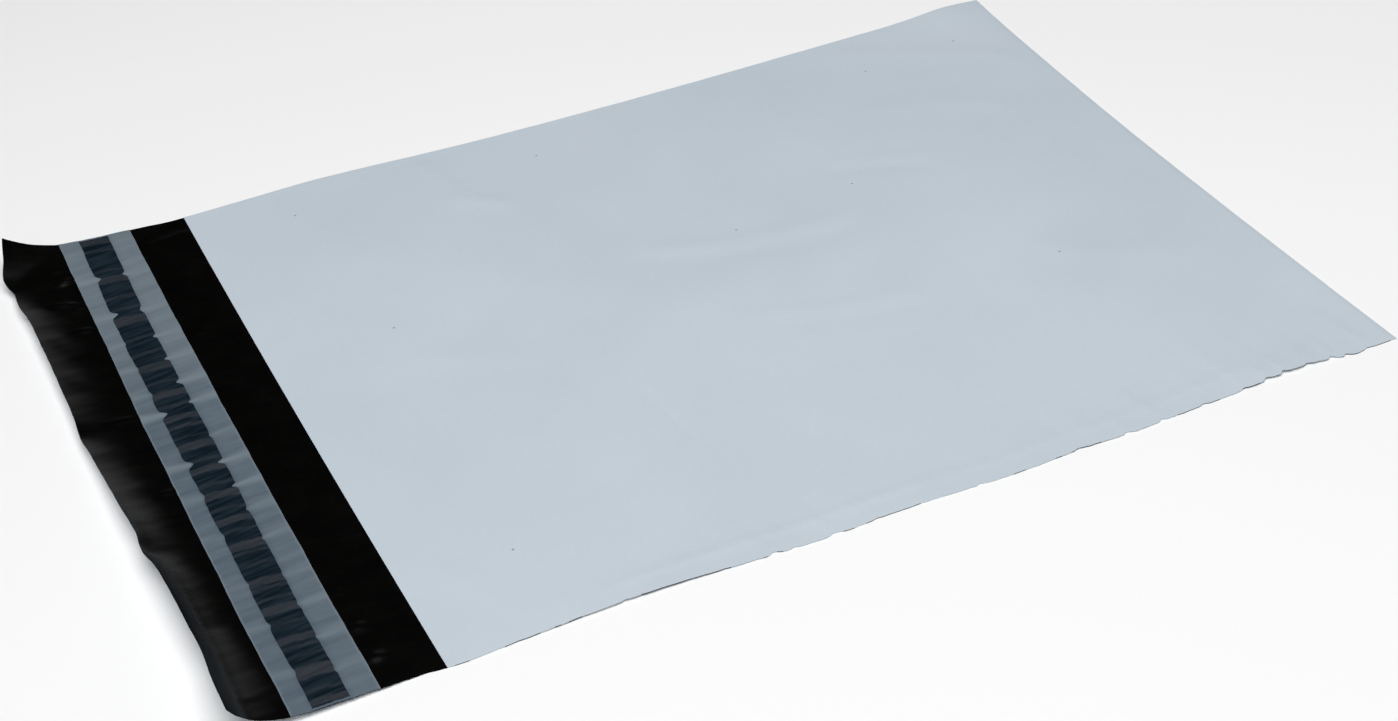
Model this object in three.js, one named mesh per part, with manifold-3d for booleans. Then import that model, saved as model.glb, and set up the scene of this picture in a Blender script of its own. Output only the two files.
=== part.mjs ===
// Poly mailer bag: a flat courier bag of co-extruded polyethylene film, light outside and black
// inside. It lies on its back panel, front panel up, with its closing lip spread out flat.
//
// Three pieces: the film, folded once at the bottom and welded along both sides; the strip of
// hot-melt adhesive across the lip; and the release liner that covers the adhesive.
//
// Millimetres. The origin is on the table under the middle of the bag. +X runs from the lip's free
// edge to the bottom fold, +Y from the near side weld to the far one, +Z up.
import * as THREE from "three";
import { mergeVertices } from "three/addons/utils/BufferGeometryUtils.js";
import Module from "manifold-3d";

const { clamp, lerp, smoothstep } = THREE.MathUtils;

// Driving dimensions of the bag.
const BAG_WIDTH = 200;
const POCKET_LENGTH = 250; // mouth to bottom fold
const LIP_LENGTH = 50; // back panel beyond the mouth
const FILM_THICKNESS = 0.08; // one ply

// The flat pocket between the plies.
const GAP_AT_SIDES = 0.1;
const GAP_IN_MIDDLE = 1.1;
const GAP_SHARE_AT_MOUTH = 0.3; // of the extra gap in the middle
const GAP_SHARE_AT_FOLD = 0.1;
const GAP_RAMP = 70; // length over which the pocket fills out from the mouth and the fold
const FLAT_MIDDLE = 40; // half the width of the panel's flat middle
const FOLD_SEGMENTS = 6;

// Side welds: a melted bead that joins the plies and stands a little proud of the front one.
const WELD_WIDTH = 1.5;
const WELD_PROUD = 0.05;
const WELD_TRIM = 0.1; // the bead reaches this far past the cut film
const WELD_INSET = 0.02; // the bead stays this far above the bag's underside

// Release liner and adhesive, both measured from the mouth edge outwards.
const LINER_START = 15;
const LINER_WIDTH = 20;
const LINER_THICKNESS = 0.06;
const GLUE_CENTRE = 25.6;
const GLUE_WIDTH = 8.2;
const GLUE_THICKNESS = 0.12;
const GLUE_FAR_MARGIN = 1.2; // from the film's cut side to the end of the strip
const GLUE_NEAR_MARGIN = 0.4;
const GLUE_LOBES = 20;
const GLUE_NOTCH = 0.9; // depth of the notch between two lobes, on each side
const LOBE_STEPS = 4;
const STACK_GAP = 0.05; // clearance between film and glue, and between glue and liner

// The lip's free edge curls up like a J, gently at the far end and strongly at the near end.
const CURL_START = LINER_START + LINER_WIDTH;
const CURL_ANGLE_FAR = 0.36;
const CURL_ANGLE_NEAR = 1.12;
const CURL_CHANGE_FROM = 15; // y where the angle starts to grow towards the near end
const CURL_CHANGE_TO = -85;

// Both ends of the lip lift off the table a little.
const FAR_LIFT_SLOPE = 0.085; // rise per millimetre of lip at the far edge
const FAR_LIFT_START = 4; // from the mouth
const FAR_LIFT_REACH = 28; // along the lip
const NEAR_LIFT = 2;
const NEAR_LIFT_REACH = 22;

// The far corner of the lip is turned up about a slanting crease.
const CORNER_CREASE = 9.5; // distance from the corner's tip to the crease
const CORNER_DIRECTION = new THREE.Vector2(-0.65, 0.76).normalize();
const CORNER_RADIUS = 4.5;
const CORNER_ANGLE = 0.8;

const HALF_WIDTH = BAG_WIDTH / 2;
const HALF_LENGTH = (POCKET_LENGTH + LIP_LENGTH) / 2;
const LIP_EDGE = -HALF_LENGTH;
const MOUTH = LIP_EDGE + LIP_LENGTH;
const FOLD = HALF_LENGTH;
const FILM_SIDE = HALF_WIDTH - WELD_TRIM;

// Grid lines, as distances from the mouth along the lip and along the pocket.
const LIP_LINES = [50, 48, 46, 44, 42, 40, 38, 36.5, 35, 32, 29, 26, 23, 20, 17.5, 15, 10, 5, 0];
const POCKET_LINES = [3, 10, 25, 50, 75, 100, 125, 150, 175, 200, 225, 238, 245, 249];
const SIDE_LINES = [1, 0.975, 0.95, 0.92, 0.88, 0.82, 0.73, 0.62, 0.51, 0.4, 0.27, 0.13];
const STATIONS = [
  ...SIDE_LINES.map((share) => -share * FILM_SIDE),
  0,
  ...SIDE_LINES.map((share) => share * FILM_SIDE).reverse(),
];

// ---------------------------------------------------------------- shape of the film

// Turns up the part of the sheet beyond a crease line: an arc first, then straight on.
function turnUpCorner(point) {
  const tip = new THREE.Vector2(LIP_EDGE, HALF_WIDTH);
  const toTip = tip.clone().sub(new THREE.Vector2(point.x, point.y));
  const beyond = CORNER_CREASE - toTip.dot(CORNER_DIRECTION);
  if (beyond <= 0) return point;
  const angle = Math.min(beyond / CORNER_RADIUS, CORNER_ANGLE);
  const straight = beyond - angle * CORNER_RADIUS;
  const along = CORNER_RADIUS * Math.sin(angle) + straight * Math.cos(angle);
  const rise = CORNER_RADIUS * (1 - Math.cos(angle)) + straight * Math.sin(angle);
  point.x += (along - beyond) * CORNER_DIRECTION.x;
  point.y += (along - beyond) * CORNER_DIRECTION.y;
  point.z += rise;
  return point;
}

// Rolls the sheet outside the liner up round an axis along Y.
function curlEdge(point, y) {
  const beyond = MOUTH - CURL_START - point.x;
  if (beyond <= 0) return point;
  const change = smoothstep(-y, -CURL_CHANGE_FROM, -CURL_CHANGE_TO);
  const fullAngle = lerp(CURL_ANGLE_FAR, CURL_ANGLE_NEAR, change);
  const radius = (LIP_LENGTH - CURL_START) / fullAngle;
  const angle = beyond / radius;
  const height = point.z;
  point.x = MOUTH - CURL_START - (radius - height) * Math.sin(angle);
  point.z = radius - (radius - height) * Math.cos(angle);
  return point;
}

// Height of the lip above the table where it isn't curled.
function lipLift(fromMouth, y) {
  const far = smoothstep(y, HALF_WIDTH - FAR_LIFT_REACH, HALF_WIDTH);
  const near = smoothstep(-y, HALF_WIDTH - NEAR_LIFT_REACH, HALF_WIDTH);
  const farRise = FAR_LIFT_SLOPE * Math.max(fromMouth - FAR_LIFT_START, 0);
  return far * farRise + near * NEAR_LIFT * smoothstep(fromMouth, 0, LIP_LENGTH);
}

// Middle of the lower ply: back panel and lip.
function lowerPly(x, y) {
  const point = new THREE.Vector3(x, y, 0);
  if (x < MOUTH) {
    turnUpCorner(point);
    curlEdge(point, y);
    point.z += lipLift(MOUTH - x, y);
  }
  point.z += FILM_THICKNESS / 2;
  return point;
}

// Clear height of the pocket between the plies.
function pocketGap(x, y) {
  const mouthEnd = lerp(GAP_SHARE_AT_MOUTH, 1, smoothstep(x, MOUTH, MOUTH + GAP_RAMP));
  const foldEnd = lerp(GAP_SHARE_AT_FOLD, 1, smoothstep(-x, -FOLD, GAP_RAMP - FOLD));
  const across = 1 - smoothstep(Math.abs(y), FLAT_MIDDLE, FILM_SIDE);
  return GAP_AT_SIDES + (GAP_IN_MIDDLE - GAP_AT_SIDES) * across * Math.min(mouthEnd, foldEnd);
}

// Middle of the upper ply: the front panel.
function upperPly(x, y) {
  return new THREE.Vector3(x, y, 1.5 * FILM_THICKNESS + pocketGap(x, y));
}

// Middle of the film round the bottom fold, angle 0 below and PI above.
function foldPly(angle, y) {
  const gap = pocketGap(FOLD - GAP_AT_SIDES, y);
  const radius = (gap + FILM_THICKNESS) / 2;
  const centreX = FOLD - FILM_THICKNESS / 2 - radius;
  const centreZ = FILM_THICKNESS / 2 + radius;
  return new THREE.Vector3(centreX + radius * Math.sin(angle), y, centreZ - radius * Math.cos(angle));
}

// The film's middle surface as one list of functions of y, from the lip's edge round to the mouth.
const filmLines = [
  ...LIP_LINES.map((distance) => (y) => lowerPly(MOUTH - distance, y)),
  ...POCKET_LINES.map((distance) => (y) => lowerPly(MOUTH + distance, y)),
  ...Array.from({ length: FOLD_SEGMENTS + 1 }, (_, i) => {
    const angle = (Math.PI * i) / FOLD_SEGMENTS;
    return (y) => foldPly(angle, y);
  }),
  ...[0, ...POCKET_LINES].reverse().map((distance) => (y) => upperPly(MOUTH + distance, y)),
];
const filmMiddle = STATIONS.map((y) => filmLines.map((line) => line(y)));

// Unit normal of a grid of points, towards the film's inner face.
function gridNormal(rows, row, column) {
  const before = rows[Math.max(row - 1, 0)][column];
  const after = rows[Math.min(row + 1, rows.length - 1)][column];
  const left = rows[row][Math.max(column - 1, 0)];
  const right = rows[row][Math.min(column + 1, rows[row].length - 1)];
  const alongLine = right.clone().sub(left);
  return alongLine.cross(after.clone().sub(before)).normalize();
}

const filmNormal = filmMiddle.map((line, row) => line.map((_, i) => gridNormal(filmMiddle, row, i)));

// A grid's points moved along their normals.
function offsetGrid(rows, normals, distance) {
  return rows.map((line, row) =>
    line.map((point, i) => point.clone().addScaledVector(normals[row][i], distance)),
  );
}

// ---------------------------------------------------------------- solids from grids

// Closed slab between two grids of the same size: lower has its faces turned down, upper up.
function slabGeometry(lower, upper) {
  const rows = lower.length;
  const columns = lower[0].length;
  const positions = [...lower.flat(), ...upper.flat()].flatMap((point) => point.toArray());
  const indices = [];
  const lowerIndex = (row, column) => row * columns + column;
  const upperIndex = (row, column) => rows * columns + lowerIndex(row, column);
  const addQuad = (a, b, c, d) => indices.push(a, b, c, a, c, d);
  for (let row = 0; row + 1 < rows; row++) {
    for (let i = 0; i + 1 < columns; i++) {
      const corners = [[row, i], [row, i + 1], [row + 1, i + 1], [row + 1, i]];
      addQuad(...corners.map((corner) => upperIndex(...corner)));
      addQuad(...corners.reverse().map((corner) => lowerIndex(...corner)));
    }
  }
  const addWall = (from, to) => {
    addQuad(lowerIndex(...from), lowerIndex(...to), upperIndex(...to), upperIndex(...from));
  };
  for (let i = 0; i + 1 < columns; i++) {
    addWall([0, i], [0, i + 1]);
    addWall([rows - 1, i + 1], [rows - 1, i]);
  }
  for (let row = 0; row + 1 < rows; row++) {
    addWall([row, columns - 1], [row + 1, columns - 1]);
    addWall([row + 1, 0], [row, 0]);
  }
  const geometry = new THREE.BufferGeometry();
  geometry.setAttribute("position", new THREE.Float32BufferAttribute(positions, 3));
  geometry.setIndex(indices);
  return geometry;
}

const wasm = await Module();
wasm.setup();

function toSolid(geometry) {
  const merged = mergeVertices(geometry);
  return new wasm.Manifold(
    new wasm.Mesh({
      numProp: 3,
      vertProperties: merged.attributes.position.array,
      triVerts: new Uint32Array(merged.index.array),
    }),
  );
}

function toGeometry(solid) {
  const mesh = solid.getMesh();
  const geometry = new THREE.BufferGeometry();
  geometry.setAttribute("position", new THREE.BufferAttribute(mesh.vertProperties, 3));
  geometry.setIndex(new THREE.BufferAttribute(mesh.triVerts, 1));
  return geometry;
}

// ---------------------------------------------------------------- mailer film

// One side weld: a bar from the mouth to the fold that fills the pocket along the edge.
function weldGeometry(side) {
  const inner = side * (HALF_WIDTH - WELD_WIDTH);
  const outer = side * HALF_WIDTH;
  const ys = [Math.min(inner, outer), Math.max(inner, outer)];
  const xs = [0, ...POCKET_LINES].map((distance) => MOUTH + distance);
  const bottom = ys.map((y) => xs.map((x) => new THREE.Vector3(x, y, WELD_INSET)));
  const top = ys.map((y) =>
    xs.map((x) => {
      const ply = upperPly(x, side * FILM_SIDE);
      return new THREE.Vector3(x, y, ply.z + FILM_THICKNESS / 2 + WELD_PROUD);
    }),
  );
  return slabGeometry(bottom, top);
}

function mailerFilmGeometry() {
  const outside = offsetGrid(filmMiddle, filmNormal, -FILM_THICKNESS / 2);
  const inside = offsetGrid(filmMiddle, filmNormal, FILM_THICKNESS / 2);
  let film = toSolid(slabGeometry(outside, inside));
  for (const side of [-1, 1]) film = film.add(toSolid(weldGeometry(side)));
  return toGeometry(film);
}

// ---------------------------------------------------------------- what lies on the lip

// A point on the lip's inner face, raised by a height along the normal.
function onLip(fromMouth, y, height) {
  const lastColumn = LIP_LINES.length - 1;
  const column = clamp(LIP_LINES.findIndex((line) => line <= fromMouth), 1, lastColumn) - 1;
  const row = clamp(STATIONS.findIndex((station) => station >= y), 1, STATIONS.length - 1) - 1;
  const columnShare =
    (LIP_LINES[column] - fromMouth) / (LIP_LINES[column] - LIP_LINES[column + 1]);
  const rowShare = (y - STATIONS[row]) / (STATIONS[row + 1] - STATIONS[row]);
  const blend = (grid) => {
    const near = grid[row][column].clone().lerp(grid[row][column + 1], columnShare);
    const far = grid[row + 1][column].clone().lerp(grid[row + 1][column + 1], columnShare);
    return near.lerp(far, rowShare);
  };
  const normal = blend(filmNormal).normalize();
  return blend(filmMiddle).addScaledVector(normal, FILM_THICKNESS / 2 + height);
}

// Slab that follows the lip: rows are lists of distances from the mouth, one row for each y.
function slabOnLip(rows, ys, bottomHeight, topHeight) {
  const at = (height) =>
    rows.map((distances, row) => distances.map((distance) => onLip(distance, ys[row], height)));
  return slabGeometry(at(bottomHeight), at(topHeight));
}

function adhesiveGeometry() {
  const nearEnd = GLUE_NEAR_MARGIN - FILM_SIDE;
  const farEnd = FILM_SIDE - GLUE_FAR_MARGIN;
  const steps = GLUE_LOBES * LOBE_STEPS;
  const ys = Array.from({ length: steps + 1 }, (_, i) => lerp(nearEnd, farEnd, i / steps));
  const rows = ys.map((_, i) => {
    const lobePhase = (Math.PI * i) / LOBE_STEPS;
    const fullness = Math.sqrt(Math.abs(Math.sin(lobePhase)));
    const half = GLUE_WIDTH / 2 - GLUE_NOTCH * (1 - fullness);
    return [half, 0, -half].map((side) => GLUE_CENTRE + side);
  });
  return slabOnLip(rows, ys, STACK_GAP, STACK_GAP + GLUE_THICKNESS);
}

function linerGeometry() {
  const lines = LIP_LINES.filter((d) => d >= LINER_START && d <= LINER_START + LINER_WIDTH);
  const bottom = 2 * STACK_GAP + GLUE_THICKNESS;
  return slabOnLip(STATIONS.map(() => lines), STATIONS, bottom, bottom + LINER_THICKNESS);
}

// ---------------------------------------------------------------- the part

const LIGHT_FILM = { color: 0xc3cdd6, roughness: 0.42, metalness: 0 };
const DARK_GLUE = { color: 0x1c2a38, roughness: 0.25, metalness: 0 };
const LINER_FILM = { color: 0x6b7b88, roughness: 0.35, metalness: 0 };

function piece(name, geometry, look) {
  const mesh = new THREE.Mesh(geometry, new THREE.MeshStandardMaterial(look));
  mesh.name = name;
  return mesh;
}

const mailer = new THREE.Group();
mailer.add(
  piece("mailer_film", mailerFilmGeometry(), LIGHT_FILM),
  piece("adhesive_strip", adhesiveGeometry(), DARK_GLUE),
  piece("release_liner", linerGeometry(), LINER_FILM),
);

export default mailer;
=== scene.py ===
"""Looks of the poly mailer bag: one folded and welded film, its adhesive strip and its release liner.

Shapes are worked out in millimetres, in the frame's axes: +X runs from the lip's free edge to the
bottom fold, +Y from the near side weld to the far one, +Z up. Meshes are made in metres.
"""
import math

import bpy
import numpy as np
from mathutils import Matrix, Vector


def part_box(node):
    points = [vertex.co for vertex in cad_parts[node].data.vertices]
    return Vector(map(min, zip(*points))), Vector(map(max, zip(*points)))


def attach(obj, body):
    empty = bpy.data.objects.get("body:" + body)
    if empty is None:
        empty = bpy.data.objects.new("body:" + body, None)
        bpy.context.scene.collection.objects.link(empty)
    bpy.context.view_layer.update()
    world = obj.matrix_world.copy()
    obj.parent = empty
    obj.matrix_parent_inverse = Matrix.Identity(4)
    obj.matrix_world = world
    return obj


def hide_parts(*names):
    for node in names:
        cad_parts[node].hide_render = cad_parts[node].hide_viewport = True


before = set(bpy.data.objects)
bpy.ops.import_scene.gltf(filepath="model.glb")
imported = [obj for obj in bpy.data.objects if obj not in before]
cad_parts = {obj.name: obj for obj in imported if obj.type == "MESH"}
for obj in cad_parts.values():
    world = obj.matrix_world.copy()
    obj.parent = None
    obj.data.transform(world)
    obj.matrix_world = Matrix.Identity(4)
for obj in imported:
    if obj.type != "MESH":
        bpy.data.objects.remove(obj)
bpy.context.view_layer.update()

MM = 0.001

# ---------------------------------------------------------------- sizes, from the frame

_, film_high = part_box("mailer_film")
_, liner_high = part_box("release_liner")
glue_low, glue_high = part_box("adhesive_strip")

HALF_WIDTH = film_high.y / MM
FOLD_X = film_high.x / MM
LIP_LENGTH = 50.0
MOUTH_X = LIP_LENGTH - FOLD_X
POCKET_LENGTH = FOLD_X - MOUTH_X
FILM = 0.08  # thickness of one ply

# Distances along the lip are measured from the mouth outwards.
LINER_WIDTH = 20.0
LINER_INNER = MOUTH_X - liner_high.x / MM
LINER_OUTER = LINER_INNER + LINER_WIDTH
LINER_FILM = 0.06  # thickness
GLUE_CENTRE = MOUTH_X - (glue_low.x + glue_high.x) / 2 / MM
GLUE_HALF = (glue_high.x - glue_low.x) / 2 / MM
GLUE_FAR_END = glue_high.y / MM
GLUE_NEAR_END = glue_low.y / MM
GLUE_THICK = 0.12
STACK_GAP = 0.03  # between the lip and the liner, where no adhesive lies

WELD_WIDTH = 1.4
WELD_LINE = HALF_WIDTH - WELD_WIDTH  # inner edge of the side welds
WELD_PROUD = 0.05


# ---------------------------------------------------------------- small maths

def ease(t):
    """0 below 0, 1 above 1, smooth between."""
    t = np.clip(t, 0.0, 1.0)
    return t * t * (3 - 2 * t)


def ramp(start, t):
    """From start up to 1 as t goes from 0 to 1."""
    return start + (1 - start) * ease(t)


def bump(x, centre, half_width):
    """A smooth hill, 1 high at its centre."""
    return np.exp(-(((x - centre) / half_width) ** 2))


def through(x, points):
    """A smooth curve through a few (x, y) points."""
    xs, ys = (np.array(c, float) for c in zip(*points))
    x = np.clip(x, xs[0], xs[-1])
    slope = np.gradient(ys, xs)
    i = np.clip(np.searchsorted(xs, x, side="right") - 1, 0, len(xs) - 2)
    span = xs[i + 1] - xs[i]
    t = (x - xs[i]) / span
    rise = (2 * t**3 - 3 * t**2 + 1) * ys[i] + (3 * t**2 - 2 * t**3) * ys[i + 1]
    return rise + span * ((t**3 - 2 * t**2 + t) * slope[i] + (t**3 - t**2) * slope[i + 1])


def waves(x, seed, longest, count=5):
    """Smooth noise from -1 to 1 along one axis, made of a few sine waves."""
    rng = np.random.default_rng(seed)
    total = 0.0
    weight = 0.0
    for k in range(count):
        length = longest / 1.7**k
        strength = 0.75**k
        total = total + strength * np.sin(2 * math.pi * (x / length + rng.random()))
        weight += strength
    return total / weight


def rolling(x, y, seed, longest, count=4):
    """Smooth noise from -1 to 1 over a plane: waves that cross at random angles."""
    rng = np.random.default_rng(seed)
    total = 0.0
    weight = 0.0
    for k in range(count):
        length = longest / 1.5**k
        for _ in range(3):
            angle = rng.uniform(0, math.pi)
            phase = rng.random()
            along = x * math.cos(angle) + y * math.sin(angle)
            total = total + np.sin(2 * math.pi * (along / length + phase)) * 0.7**k
            weight += 0.7**k
    return total / weight


def crease(x, y, start, end, sag, half_width):
    """Height, from 0 to 1, of a soft crease from start to end that bows sideways by sag."""
    (x0, y0), (x1, y1) = start, end
    length = math.hypot(x1 - x0, y1 - y0)
    ux, uy = (x1 - x0) / length, (y1 - y0) / length
    along = ((x - x0) * ux + (y - y0) * uy) / length
    side = -(x - x0) * uy + (y - y0) * ux
    side = side - sag * 4 * along * (1 - along)
    fade = ease((along + 0.12) / 0.3) * ease((1.12 - along) / 0.3)
    return fade * np.exp(-((side / half_width) ** 2))


# ---------------------------------------------------------------- outline of the film

# How far each side edge stands in (+) or out (-) of its straight line, at places along X.
NEAR_EDGE = (
    (-150, 0.0), (-130, -0.1), (-114, 0.3), (-104, 0.6), (-99, 0.1), (-84, 0.6), (-63, 1.2),
    (-52, 1.3), (-42, 1.0), (-26, 0.2), (-12, -0.5), (12, 0.0), (42, -1.0), (60, -0.5),
    (73, -0.9), (85, -0.4), (99, 0.0), (112, 0.5), (121, 0.9), (131, 0.3), (136, -0.7),
    (143, -0.2), (150, -0.3),
)
FAR_EDGE = (
    (-150, 0.0), (-100, 0.0), (-81, -0.2), (-46, 0.1), (-20, 1.5), (26, 2.3), (55, 2.1),
    (95, 1.3), (127, 0.6), (150, 0.2),
)
# Nicks and teeth that the hot knife left along the near weld: place along X, width, depth.
NEAR_TEETH = (
    (-58, 1.4, 0.35), (-22, 1.6, 0.77), (-17, 1.0, 0.49), (-7, 2.2, 0.63), (4, 1.3, 0.35),
    (31, 1.5, 0.42), (58, 1.8, 0.42), (71, 1.4, 0.7), (81, 1.2, 0.63), (93, 1.6, 0.42),
    (105, 1.1, 0.49), (112, 1.6, 0.84), (117, 1.2, 0.84), (124, 1.5, 0.63), (131, 1.2, 0.98),
    (135, 1.4, 0.84), (141, 1.1, 0.42),
)
TOOTH_STEEPNESS = 2.2  # of a tooth's steep side, against its long side
NEAR_WANDER_FROM = 70  # distances from the middle where the side edges start to wander
FAR_WANDER_FROM = 40
MOUTH_BOW = 0.6  # of the front panel's edge, towards the lip
FOLD_BOW = 2.1  # of the bottom fold, inwards
FOLD_BOW_PLACE = 12  # along Y, where it bows in the most


def tooth(x, centre, width, depth):
    """A nick with one steep side and one long side."""
    t = (x - centre) / width
    return depth * np.where(t < 0, np.exp(-((t * TOOTH_STEEPNESS) ** 2)), np.exp(-(t**2)))


def near_edge_offset(x):
    teeth = sum(tooth(x, *spec) for spec in NEAR_TEETH)
    ragged = 0.1 * waves(x, 11, 7.0) + 0.06 * waves(x, 12, 2.6, 3)
    return through(x, NEAR_EDGE) + teeth + ragged


def far_edge_offset(x):
    return through(x, FAR_EDGE) + 0.07 * waves(x, 13, 21.0)


def across(x, v):
    """Y of the sheet's column v at x: the side edges wander, the middle stays."""
    near = ease((-v - NEAR_WANDER_FROM) / (HALF_WIDTH - NEAR_WANDER_FROM)) ** 2
    far = ease((v - FAR_WANDER_FROM) / (HALF_WIDTH - FAR_WANDER_FROM)) ** 2
    return v + near * near_edge_offset(x) - far * far_edge_offset(x)


def mouth_x(v):
    """X of the front panel's edge at the mouth."""
    return MOUTH_X - MOUTH_BOW * (1 - (v / HALF_WIDTH) ** 2)


def fold_x(v):
    """X of the bottom fold's outermost line."""
    from_place = v - FOLD_BOW_PLACE
    reach = HALF_WIDTH - FOLD_BOW_PLACE * np.sign(from_place)
    bow = np.clip(1 - np.abs(from_place / reach) ** 1.6, 0, 1)
    return FOLD_X - FOLD_BOW * bow + 0.05 * waves(v, 14, 37.0)


# ---------------------------------------------------------------- lip

CURL_START = LINER_OUTER
CURL_LENGTH = LIP_LENGTH - CURL_START
# Angle that the free edge is rolled up by, at places along Y.
CURL_ANGLE = (
    (-100, 1.06), (-88, 1.06), (-76, 1.12), (-57, 1.1), (-46, 1.0), (-36, 0.86), (-26, 0.76),
    (-13, 0.6), (0, 0.46), (24, 0.42), (57, 0.44), (70, 0.4), (80, 0.24), (88, 0.08), (100, 0.42),
)
CURL_KINKS = ((13, 5.0, 0.09), (-38, 6.0, 0.14))  # place along Y, half width, loss of angle
CORNER_CREASE = 11.4  # distance from the corner's tip to its slanting crease
CORNER_DIRECTION = np.array((-0.65, 0.76)) / math.hypot(0.65, 0.76)
CORNER_RADIUS = 4.5
CORNER_ANGLE = 0.35

# Small puckers where the film is gathered beside the liner: distance from the mouth, place
# along Y, length along X, half width, height, slant.
PUCKERS = (
    (37.0, 88.8, 1.7, 1.0, 0.43, -0.15), (36.9, 83.4, 2.0, 1.0, 0.86, -0.3),
    (38.6, 73.4, 3.0, 1.1, 0.70, 0.25), (37.4, 69.8, 2.4, 1.0, 0.54, 0.12),
    (37.2, 60.0, 2.4, 1.0, 0.59, 0.1), (38.5, 18.0, 4.0, 1.2, 0.50, -0.05),
    (36.8, -14.0, 2.2, 1.0, 0.49, 0.0), (12.6, -79.0, 1.9, 1.5, 0.56, 0.0),
    (12.4, -90.0, 2.1, 1.6, 0.60, 0.0), (12.8, -66.0, 1.6, 1.3, 0.40, 0.0),
    (12.7, 44.0, 1.5, 1.1, 0.27, 0.0), (12.9, 21.0, 1.3, 1.0, 0.27, 0.0),
)
# Soft creases in the lip: start, end, sag, half width, height.
LIP_CREASES = (
    ((-101, 93.0), (-114, 90.0), 0.6, 1.7, 0.32), ((-102, 78.0), (-113, 70.0), 0.4, 2.4, 0.10),
    ((-137, 32.0), (-148, 40.0), 0.3, 3.0, 0.09), ((-136, 45.0), (-147, 60.0), 0.8, 3.2, 0.10),
)
# How much farther out the free edge is cut: place along Y, half width, extra length.
CUT_BUMPS = ((88.5, 4, 1.5), (75, 6, 0.8), (12, 8, 0.6), (-31, 4, -0.5), (-77, 9, -1.1))
CUT_FAR_END = 0.45  # extra length at the lip's two ends
CUT_NEAR_END = 0.3
FAR_SLOPE = 0.062  # of the lip's far end, off the table
FAR_DROOP = 0.0005  # by which that slope bends down again
FAR_STEP = 0.4
NEAR_RISE = 1.0  # of the lip's near end, in two steps
NEAR_STEP = 1.1
GENTLE_RISE = 0.16  # of the whole lip, at most
FACE_STEP = 0.05  # for the slopes that give the lip's normal


def turn_up_corner(x, y, z):
    """Turns up what lies beyond the slanting crease at the lip's far corner."""
    to_tip = (-FOLD_X - x) * CORNER_DIRECTION[0] + (HALF_WIDTH - y) * CORNER_DIRECTION[1]
    beyond = np.clip(CORNER_CREASE - to_tip, 0, None)
    angle = np.minimum(beyond / CORNER_RADIUS, CORNER_ANGLE)
    straight = beyond - angle * CORNER_RADIUS
    along = CORNER_RADIUS * np.sin(angle) + straight * np.cos(angle)
    rise = CORNER_RADIUS * (1 - np.cos(angle)) + straight * np.sin(angle)
    x = x + (along - beyond) * CORNER_DIRECTION[0]
    y = y + (along - beyond) * CORNER_DIRECTION[1]
    return x, y, z + rise


def curl_edge(x, y, z, v):
    """Rolls the sheet outside the liner up, round an axis along Y."""
    angle_there = through(v, CURL_ANGLE)
    for place, half_width, loss in CURL_KINKS:
        angle_there = angle_there - loss * bump(v, place, half_width)
    start = MOUTH_X - CURL_START
    beyond = start - x
    radius = CURL_LENGTH / np.maximum(angle_there, 0.02)
    angle = np.clip(beyond, 0, None) / radius
    rolled_x = start - (radius - z) * np.sin(angle)
    rolled_z = radius - (radius - z) * np.cos(angle)
    return np.where(beyond > 0, rolled_x, x), y, np.where(beyond > 0, rolled_z, z)


def lip_lift(u, v):
    """Height of the lip above the table, most of it at its two ends."""
    far = ease((v - 72) / 28)
    near = ease((-v - 60) / 40)
    far_rise = FAR_SLOPE * np.clip(u - 4, 0, None) + FAR_STEP * ease((u - 24) / 14)
    far_rise = far_rise - FAR_DROOP * np.clip(u - 10, 0, None) ** 2
    near_rise = NEAR_RISE * ease((u - 1) / 30) + NEAR_STEP * ease((u - 28) / 12)
    gentle = GENTLE_RISE * (0.5 + 0.5 * waves(v, 21, 62.0)) * ease(u / 12)
    return far * far_rise + near * near_rise + gentle


def lip_wrinkles(u, v):
    """Height of the lip's puckers, creases and fine waves."""
    total = 0.0
    for place, y, length, half_width, height, slant in PUCKERS:
        along = (u - place) / length
        side = (v - y - slant * (u - place)) / half_width
        total = total + height * np.exp(-(along**2) - side**2)
    for start, end, sag, half_width, height in LIP_CREASES:
        total = total + height * crease(MOUTH_X - u, v, start, end, sag, half_width)
    return total + 0.06 * ease(u / 8) * waves(v + 0.4 * u, 23, 17.0, 4)


def lip_middle(u, v):
    """Middle of the lip's film: u from the mouth outwards, v across the bag."""
    longer = 0.12 * waves(v, 22, 31.0)
    longer = longer + CUT_FAR_END * ease((v - 88) / 12) + CUT_NEAR_END * ease((-v - 86) / 11)
    for place, half_width, extra in CUT_BUMPS:
        longer = longer + extra * bump(v, place, half_width)
    u_cut = u + longer * ease((u - CURL_START) / CURL_LENGTH)
    bow = (mouth_x(v) - MOUTH_X) * (1 - u / LIP_LENGTH)
    x = MOUTH_X - u_cut + bow
    y = across(x, v)
    z = lip_wrinkles(u, v)
    x, y, z = turn_up_corner(x, y, z)
    x, y, z = curl_edge(x, y, z, v)
    z = z + lip_lift(u, v) + FILM / 2
    return np.stack([x, y, z], -1)


def lip_face(u, v, height):
    """A point above the lip's inner face, at a height along its normal."""
    along = lip_middle(u - FACE_STEP, v) - lip_middle(u + FACE_STEP, v)
    sideways = lip_middle(u, v + FACE_STEP) - lip_middle(u, v - FACE_STEP)
    normal = np.cross(along, sideways)
    normal /= np.linalg.norm(normal, axis=-1, keepdims=True)
    return lip_middle(u, v) + normal * np.asarray(FILM / 2 + height)[..., None]


# ---------------------------------------------------------------- pocket

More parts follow.
